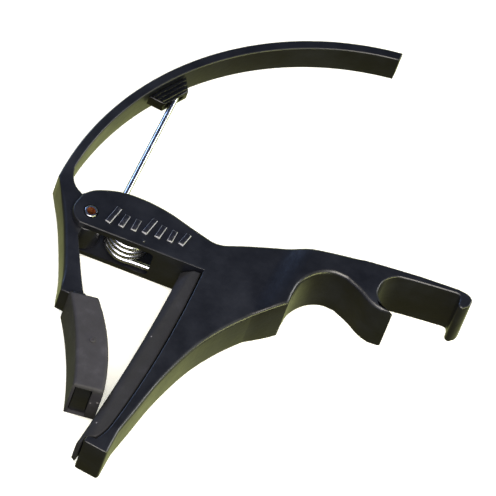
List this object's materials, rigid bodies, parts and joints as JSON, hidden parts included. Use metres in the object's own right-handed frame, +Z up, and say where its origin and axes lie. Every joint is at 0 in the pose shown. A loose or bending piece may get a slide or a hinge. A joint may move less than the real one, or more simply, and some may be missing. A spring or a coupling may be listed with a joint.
{
  "type": "guitar capo",
  "caption": "Spring-loaded trigger capo: a cast body with finger grip and padded jaw bar, a curved squeeze lever on a hinge pin, a rubber neck sleeve and a torsion spring.",
  "frame": {"origin": "centre of the footprint, on the surface the capo lies on", "axes": "+X from the hinge towards the end of the finger grip, +Y from the jaw towards the squeeze arm's tip, +Z up, along the hinge pin"},
  "size_m": [0.1016, 0.1424, 0.016],
  "materials": {
    "body_enamel": "satin enamel",
    "lever_enamel": "satin enamel",
    "pad_rubber": "matte",
    "sleeve_rubber": "matte",
    "pin_steel": "bright",
    "axle_steel": "blacked",
    "spring_steel": "bright",
    "shoe_nylon": "gloss"
  },
  "bodies": {
    "frame": {"body_casting": "body_enamel", "fretboard_pad": "pad_rubber", "hinge_pin": "pin_steel", "spring_axle": "axle_steel", "spring_coil": "spring_steel"},
    "lever": {"lever_casting": "lever_enamel", "neck_sleeve": "sleeve_rubber"},
    "spring_leg": {"spring_upper_leg": "spring_steel"},
    "spring_shoe": {"spring_shoe": "shoe_nylon"}
  },
  "joints": [
    {"name": "lever_hinge", "type": "hinge", "parent": "frame", "child": "lever", "pos_m": [-0.03921, -0.01371, 0.008], "axis": [0, 0, -1], "range_deg": [0, 40], "stiffness_Nm_per_rad": 1.5, "springref_deg": -34.38},
    {"name": "spring_leg_hinge", "type": "hinge", "parent": "frame", "child": "spring_leg", "pos_m": [-0.02901, -0.01001, 0.008], "axis": [0, 0, -1], "range_deg": [0, 52.5], "deforming": ["spring_coil"]},
    {"name": "spring_shoe_slide", "type": "hinge", "parent": "lever", "child": "spring_shoe", "pos_m": [0.02659, -0.00301, 0.008], "axis": [0, 0, -1], "range_deg": [0, 6.3]}
  ],
  "couplings": [
    {"joint": "spring_leg_hinge", "follows": "lever_hinge", "ratio": 1.3},
    {"joint": "spring_shoe_slide", "follows": "lever_hinge", "ratio": 0.155}
  ]
}
